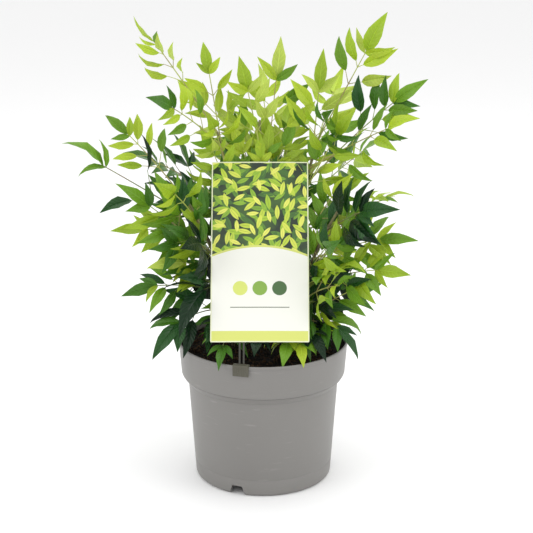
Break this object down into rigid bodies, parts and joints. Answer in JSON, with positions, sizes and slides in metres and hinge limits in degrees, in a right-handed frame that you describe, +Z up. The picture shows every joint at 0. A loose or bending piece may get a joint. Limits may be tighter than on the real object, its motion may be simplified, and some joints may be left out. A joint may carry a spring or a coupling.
{
  "type": "potted heavenly bamboo shrub",
  "caption": "Evergreen shrub with several canes and fine lime, mid and dark green compound leaves, in a plain round grey nursery pot with a leaning plant label clipped to its rim.",
  "frame": {"origin": "middle of the pot's flat underside", "axes": "+Z up, -Y towards the front, where the label leans"},
  "size_m": [0.3961, 0.2974, 0.5289],
  "materials": {
    "pot_plastic": "satin grey moulded plastic",
    "potting_mix": "moist dark fibrous potting mix",
    "label_card": null,
    "label_clip": "ribbed grey-brown plastic",
    "cane_bark": "fine ridged bark",
    "leaf_stalk": "smooth green stalk",
    "leaf_lime": "young lime green leaves",
    "leaf_fresh": "mid green leaves",
    "leaf_dark": "old dark glossy green leaves"
  },
  "bodies": {
    "root": {"bough_b_e_mid": "leaf_stalk", "bough_b_w_mid": "leaf_stalk", "bough_e_far": "leaf_stalk", "bough_e_low": "leaf_stalk", "bough_ene": "leaf_stalk", "bough_ne_tall": "leaf_stalk", "bough_nw_tall": "leaf_stalk", "bough_w_lime": "leaf_stalk", "bough_w_mid_low": "leaf_stalk", "cane_back": "cane_bark", "cane_east": "cane_bark", "cane_middle": "cane_bark", "cane_northeast": "cane_bark", "cane_northwest": "cane_bark", "cane_west": "cane_bark", "label_card": "label_card", "label_clip": "label_clip", "pot": "pot_plastic", "soil": "potting_mix", "spray_b_e_low": "leaf_dark", "spray_b_e_mid": "leaf_fresh", "spray_b_low": "leaf_dark", "spray_b_mid": "leaf_fresh", "spray_b_ne": "leaf_lime", "spray_b_north": "leaf_lime", "spray_b_nw": "leaf_lime", "spray_b_w_low": "leaf_dark", "spray_b_w_mid": "leaf_fresh", "spray_e_blades": "leaf_lime", "spray_e_dark": "leaf_dark", "spray_e_droop": "leaf_dark", "spray_e_far": "leaf_lime", "spray_e_lime": "leaf_lime", "spray_e_low": "leaf_lime", "spray_ene": "leaf_fresh", "spray_in_left": "leaf_dark", "spray_in_left_low": "leaf_dark", "spray_in_right": "leaf_fresh", "spray_in_right_low": "leaf_fresh", "spray_in_top": "leaf_lime", "spray_in_top_left": "leaf_lime", "spray_in_top_right": "leaf_fresh", "spray_n_left": "leaf_lime", "spray_n_right": "leaf_lime", "spray_ne_tall": "leaf_lime", "spray_north": "leaf_lime", "spray_nw_tall": "leaf_lime", "spray_s_left": "leaf_fresh", "spray_s_right": "leaf_lime", "spray_se_rim": "leaf_fresh", "spray_sw_dark": "leaf_dark", "spray_sw_low": "leaf_dark", "spray_w_far": "leaf_dark", "spray_w_front": "leaf_lime", "spray_w_lime": "leaf_lime", "spray_w_low": "leaf_lime", "spray_w_mid": "leaf_fresh", "spray_w_mid_low": "leaf_fresh", "spray_w_upper": "leaf_lime"}
  },
  "joints": []
}
